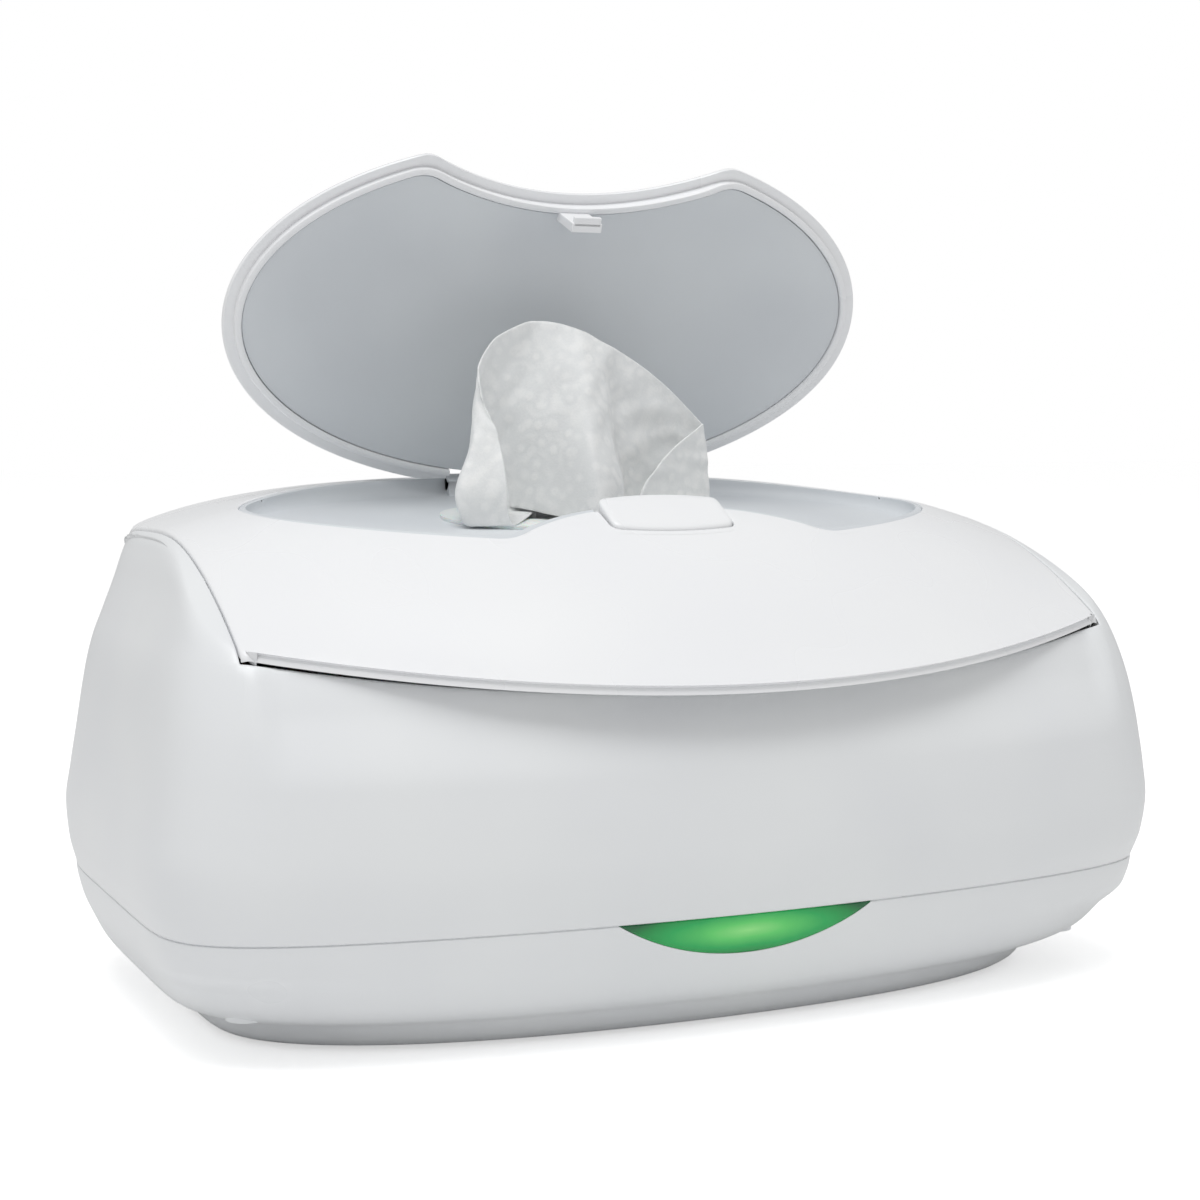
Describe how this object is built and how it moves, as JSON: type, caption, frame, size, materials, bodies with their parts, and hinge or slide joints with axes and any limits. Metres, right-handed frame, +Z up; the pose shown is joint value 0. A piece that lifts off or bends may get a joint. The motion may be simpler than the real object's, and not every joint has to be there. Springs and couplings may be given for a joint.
{
  "type": "baby wipe warmer",
  "caption": "Heated wipe dispenser with a domed hinged lid, a sprung oval dispensing flap, a rocking release button and a green status lamp.",
  "frame": {"origin": "on the floor, under the middle of the bounding box", "axes": "+Z up, front (release button and lamp) towards -Y, +X to the right seen from the front"},
  "size_m": [0.3092, 0.2111, 0.2473],
  "materials": {
    "white_shell": "smooth white moulded ABS",
    "lid_white": "smooth white moulded ABS",
    "cool_grey": "light grey moulded polypropylene",
    "tub_plastic": "natural polypropylene",
    "silicone": "translucent silicone rubber",
    "foam_seal": "soft sealing ring",
    "aluminium": "rolled aluminium sheet",
    "polyimide": "polyimide heating foil",
    "felt": "needled insulation felt",
    "black_plastic": "black moulded plastic",
    "bright_metal": "plain bright metal",
    "circuit_board": "glass-epoxy board",
    "led_clear": "clear lamp epoxy",
    "guide_clear": "clear acrylic",
    "lens_green": "translucent green polycarbonate",
    "wire": "PVC insulated wire",
    "foot_rubber": "moulded rubber",
    "foam_pad": "open-cell evaporative foam",
    "nonwoven": "wet nonwoven wipe"
  },
  "bodies": {
    "housing": {"base_shell": "white_shell", "casing": "white_shell", "tub": "tub_plastic", "tub_seal": "foam_seal", "heat_spreader": "aluminium", "heating_foil": "polyimide", "insulation_pad": "felt", "thermostat": "black_plastic", "thermal_fuse": "bright_metal", "control_board": "circuit_board", "board_leds": "led_clear", "light_guide": "guide_clear", "lamp_lens": "lens_green", "power_inlet": "black_plastic", "wiring": "wire", "base_screws": "bright_metal", "rubber_feet": "foot_rubber", "moisture_pad": "foam_pad", "lid_hinge_pins": "bright_metal"},
    "lid": {"main_lid": "lid_white", "lid_liner": "tub_plastic", "recess_basin": "cool_grey", "dispenser_gasket": "silicone", "flap_hinge_pin": "bright_metal", "flap_spring": "bright_metal", "button_pin": "bright_metal", "button_spring": "bright_metal", "wipe": "nonwoven"},
    "flap": {"flap_cover": "lid_white", "flap_panel": "cool_grey"},
    "button": {"release_button": "lid_white"}
  },
  "joints": [
    {"name": "lid_hinge", "type": "hinge", "parent": "housing", "child": "lid", "pos_m": [0, 0.10157, 0.09866], "axis": [-1, 0, 0], "range_deg": [0, 95]},
    {"name": "flap_hinge", "type": "hinge", "parent": "lid", "child": "flap", "pos_m": [0, 0.063, 0.14796], "axis": [1, 0, 0], "range_deg": [0, 69], "stiffness_Nm_per_rad": 0.02, "springref_deg": -28.65, "deforming": ["wipe"]},
    {"name": "button_rock", "type": "hinge", "parent": "lid", "child": "button", "pos_m": [0, -0.04652, 0.13657], "axis": [-1, 0, 0], "range_deg": [0, 10], "stiffness_Nm_per_rad": 0.12, "springref_deg": -5.73, "deforming": ["button_spring"]}
  ]
}
